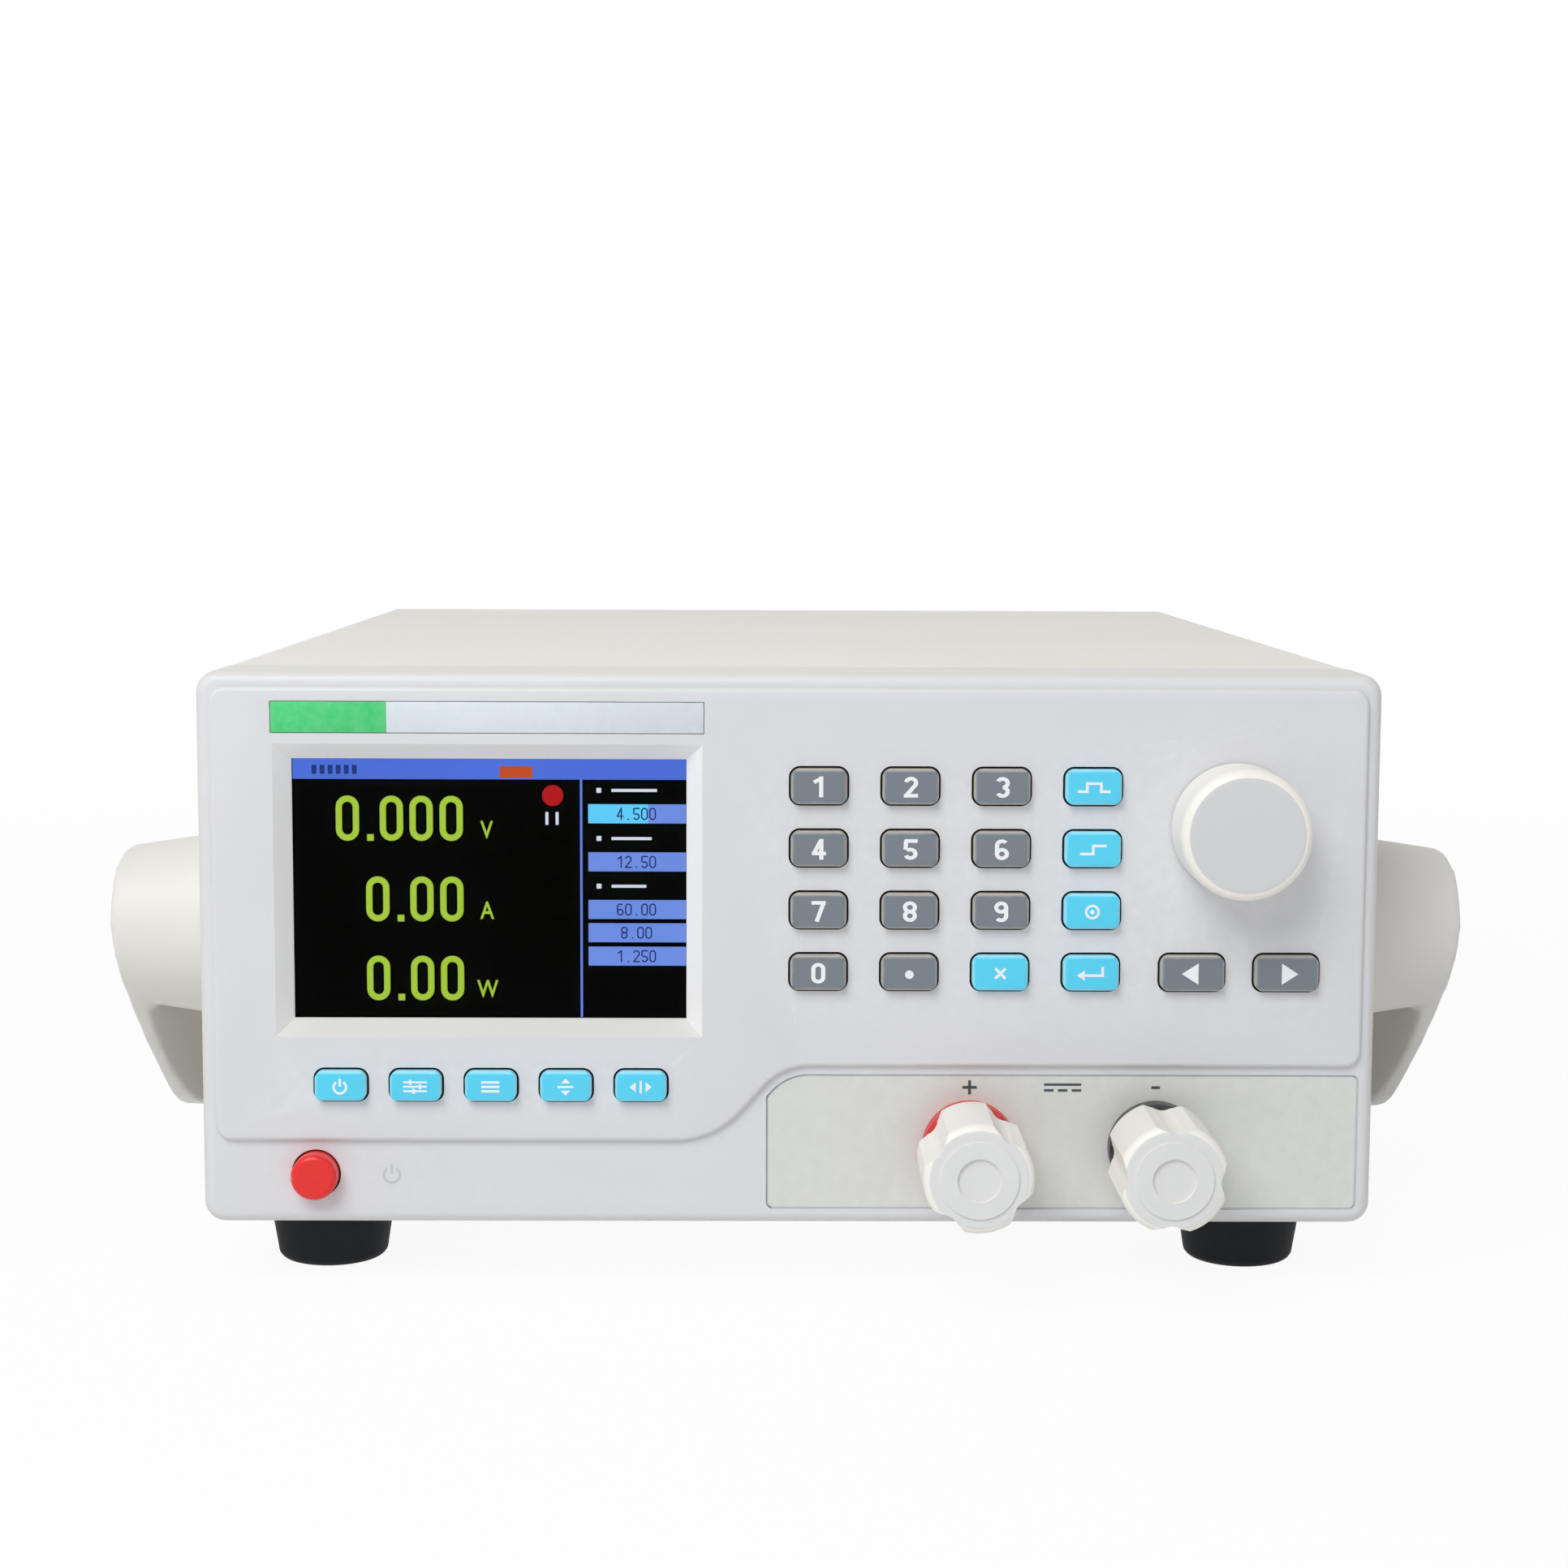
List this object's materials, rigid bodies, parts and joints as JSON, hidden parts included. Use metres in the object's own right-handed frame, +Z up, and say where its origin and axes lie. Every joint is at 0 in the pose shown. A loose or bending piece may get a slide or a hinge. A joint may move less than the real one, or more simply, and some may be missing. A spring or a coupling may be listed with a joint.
{
  "type": "dc electronic load",
  "caption": "Bench DC electronic load: colour display, keypad, encoder knob and binding posts on a moulded front, fan-cooled steel case on rubber feet, folding bail handle.",
  "frame": {"origin": "middle of the box's base, on the plane that the feet stand on", "axes": "+X to the right as seen from the front, +Y backwards from the front panel, +Z up"},
  "size_m": [0.2694, 0.306, 0.117],
  "materials": {
    "bezel_plastic": "fine moulded grain",
    "cover_paint": "fine textured powder coat",
    "handle_plastic": "fine moulded grain",
    "knob_plastic": "satin",
    "key_grey": "satin",
    "key_blue": "satin",
    "button_red": "gloss",
    "post_red": "gloss",
    "post_black": "gloss",
    "plate_print": "printed film",
    "lens_clear": "clear",
    "display_black": "liquid-crystal panel",
    "mat_rubber": "silicone",
    "board_green": "solder mask",
    "foot_rubber": "matt",
    "steel_plated": "zinc plated",
    "brass_plated": "plated",
    "busbar_copper": "bare copper",
    "black_plastic": "moulded",
    "heatsink_aluminium": "extruded",
    "transformer_core": "varnished laminations"
  },
  "bodies": {
    "case": {"front_bezel": "bezel_plastic", "top_cover": "cover_paint", "rear_panel": "cover_paint", "post_base_positive": "post_red", "post_base_negative": "post_black", "terminal_plate": "plate_print", "display_lens": "lens_clear", "display_module": "display_black", "keypad_mat": "mat_rubber", "front_board": "board_green", "main_board": "board_green", "feet": "foot_rubber", "chassis_tray": "steel_plated", "screws": "steel_plated", "handle_pivots": "steel_plated", "encoder_body": "steel_plated", "fan_guard": "steel_plated", "serial_port": "steel_plated", "post_hardware": "brass_plated", "busbars": "busbar_copper", "power_switch": "black_plastic", "fan_frame": "black_plastic", "mains_inlet": "black_plastic", "power_transistors": "black_plastic", "heatsink": "heatsink_aluminium", "mains_transformer": "transformer_core"},
    "knob": {"encoder_knob": "knob_plastic", "encoder_shaft": "steel_plated"},
    "power_button": {"power_button": "button_red"},
    "clamp_positive": {"clamp_ring_positive": "brass_plated"},
    "clamp_negative": {"clamp_ring_negative": "brass_plated"},
    "cap_positive": {"post_cap_positive": "knob_plastic"},
    "cap_negative": {"post_cap_negative": "knob_plastic"},
    "handle": {"handle_arm_left": "handle_plastic", "handle_arm_right": "handle_plastic", "handle_grip": "handle_plastic"},
    "fan_rotor": {"fan_rotor": "black_plastic"},
    "key_0": {"key_0": "key_grey"},
    "key_1": {"key_1": "key_grey"},
    "key_2": {"key_2": "key_grey"},
    "key_3": {"key_3": "key_grey"},
    "key_4": {"key_4": "key_grey"},
    "key_5": {"key_5": "key_grey"},
    "key_6": {"key_6": "key_grey"},
    "key_7": {"key_7": "key_grey"},
    "key_8": {"key_8": "key_grey"},
    "key_9": {"key_9": "key_grey"},
    "key_point": {"key_point": "key_grey"},
    "key_left": {"key_left": "key_grey"},
    "key_right": {"key_right": "key_grey"},
    "key_function_1": {"key_function_1": "key_blue"},
    "key_function_2": {"key_function_2": "key_blue"},
    "key_function_3": {"key_function_3": "key_blue"},
    "key_function_4": {"key_function_4": "key_blue"},
    "key_function_5": {"key_function_5": "key_blue"},
    "soft_key_1": {"soft_key_1": "key_blue"},
    "soft_key_2": {"soft_key_2": "key_blue"},
    "soft_key_3": {"soft_key_3": "key_blue"},
    "soft_key_4": {"soft_key_4": "key_blue"},
    "soft_key_5": {"soft_key_5": "key_blue"}
  },
  "joints": [
    {"name": "knob_turn", "type": "hinge", "parent": "case", "child": "knob", "pos_m": [0.0829, -0.135, 0.0886], "axis": [0, -1, 0], "continuous": true},
    {"name": "power_push", "type": "slide", "parent": "case", "child": "power_button", "axis": [0, 1, 0], "range_m": [-0.0025, 0]},
    {"name": "handle_swing", "type": "hinge", "parent": "case", "child": "handle", "pos_m": [0, -0.077, 0.0623], "axis": [-1, 0, 0], "range_deg": [0, 285]},
    {"name": "fan_spin", "type": "hinge", "parent": "case", "child": "fan_rotor", "pos_m": [0.042, 0.135, 0.06475], "axis": [0, 1, 0], "continuous": true},
    {"name": "clamp_positive_slide", "type": "slide", "parent": "case", "child": "clamp_positive", "axis": [0, -1, 0], "range_m": [0, 0.006]},
    {"name": "cap_positive_turn", "type": "hinge", "parent": "clamp_positive", "child": "cap_positive", "pos_m": [0.034, -0.143, 0.0278], "axis": [0, -1, 0], "range_deg": [0, 2162]},
    {"name": "clamp_negative_slide", "type": "slide", "parent": "case", "child": "clamp_negative", "axis": [0, -1, 0], "range_m": [0, 0.006]},
    {"name": "cap_negative_turn", "type": "hinge", "parent": "clamp_negative", "child": "cap_negative", "pos_m": [0.069, -0.143, 0.0278], "axis": [0, -1, 0], "range_deg": [0, 2162]},
    {"name": "key_0_press", "type": "slide", "parent": "case", "child": "key_0", "axis": [0, 1, 0], "range_m": [0, 0.0012], "stiffness_N_per_m": 300},
    {"name": "key_1_press", "type": "slide", "parent": "case", "child": "key_1", "axis": [0, 1, 0], "range_m": [0, 0.0012], "stiffness_N_per_m": 300},
    {"name": "key_2_press", "type": "slide", "parent": "case", "child": "key_2", "axis": [0, 1, 0], "range_m": [0, 0.0012], "stiffness_N_per_m": 300},
    {"name": "key_3_press", "type": "slide", "parent": "case", "child": "key_3", "axis": [0, 1, 0], "range_m": [0, 0.0012], "stiffness_N_per_m": 300},
    {"name": "key_4_press", "type": "slide", "parent": "case", "child": "key_4", "axis": [0, 1, 0], "range_m": [0, 0.0012], "stiffness_N_per_m": 300},
    {"name": "key_5_press", "type": "slide", "parent": "case", "child": "key_5", "axis": [0, 1, 0], "range_m": [0, 0.0012], "stiffness_N_per_m": 300},
    {"name": "key_6_press", "type": "slide", "parent": "case", "child": "key_6", "axis": [0, 1, 0], "range_m": [0, 0.0012], "stiffness_N_per_m": 300},
    {"name": "key_7_press", "type": "slide", "parent": "case", "child": "key_7", "axis": [0, 1, 0], "range_m": [0, 0.0012], "stiffness_N_per_m": 300},
    {"name": "key_8_press", "type": "slide", "parent": "case", "child": "key_8", "axis": [0, 1, 0], "range_m": [0, 0.0012], "stiffness_N_per_m": 300},
    {"name": "key_9_press", "type": "slide", "parent": "case", "child": "key_9", "axis": [0, 1, 0], "range_m": [0, 0.0012], "stiffness_N_per_m": 300},
    {"name": "key_point_press", "type": "slide", "parent": "case", "child": "key_point", "axis": [0, 1, 0], "range_m": [0, 0.0012], "stiffness_N_per_m": 300},
    {"name": "key_left_press", "type": "slide", "parent": "case", "child": "key_left", "axis": [0, 1, 0], "range_m": [0, 0.0012], "stiffness_N_per_m": 300},
    {"name": "key_right_press", "type": "slide", "parent": "case", "child": "key_right", "axis": [0, 1, 0], "range_m": [0, 0.0012], "stiffness_N_per_m": 300},
    {"name": "key_function_1_press", "type": "slide", "parent": "case", "child": "key_function_1", "axis": [0, 1, 0], "range_m": [0, 0.0012], "stiffness_N_per_m": 300},
    {"name": "key_function_2_press", "type": "slide", "parent": "case", "child": "key_function_2", "axis": [0, 1, 0], "range_m": [0, 0.0012], "stiffness_N_per_m": 300},
    {"name": "key_function_3_press", "type": "slide", "parent": "case", "child": "key_function_3", "axis": [0, 1, 0], "range_m": [0, 0.0012], "stiffness_N_per_m": 300},
    {"name": "key_function_4_press", "type": "slide", "parent": "case", "child": "key_function_4", "axis": [0, 1, 0], "range_m": [0, 0.0012], "stiffness_N_per_m": 300},
    {"name": "key_function_5_press", "type": "slide", "parent": "case", "child": "key_function_5", "axis": [0, 1, 0], "range_m": [0, 0.0012], "stiffness_N_per_m": 300},
    {"name": "soft_key_1_press", "type": "slide", "parent": "case", "child": "soft_key_1", "axis": [0, 1, 0], "range_m": [0, 0.0012], "stiffness_N_per_m": 300},
    {"name": "soft_key_2_press", "type": "slide", "parent": "case", "child": "soft_key_2", "axis": [0, 1, 0], "range_m": [0, 0.0012], "stiffness_N_per_m": 300},
    {"name": "soft_key_3_press", "type": "slide", "parent": "case", "child": "soft_key_3", "axis": [0, 1, 0], "range_m": [0, 0.0012], "stiffness_N_per_m": 300},
    {"name": "soft_key_4_press", "type": "slide", "parent": "case", "child": "soft_key_4", "axis": [0, 1, 0], "range_m": [0, 0.0012], "stiffness_N_per_m": 300},
    {"name": "soft_key_5_press", "type": "slide", "parent": "case", "child": "soft_key_5", "axis": [0, 1, 0], "range_m": [0, 0.0012], "stiffness_N_per_m": 300}
  ],
  "couplings": [
    {"joint": "cap_positive_turn", "follows": "clamp_positive_slide", "rad_per_m": 6283.2},
    {"joint": "cap_negative_turn", "follows": "clamp_negative_slide", "rad_per_m": 6283.2}
  ]
}
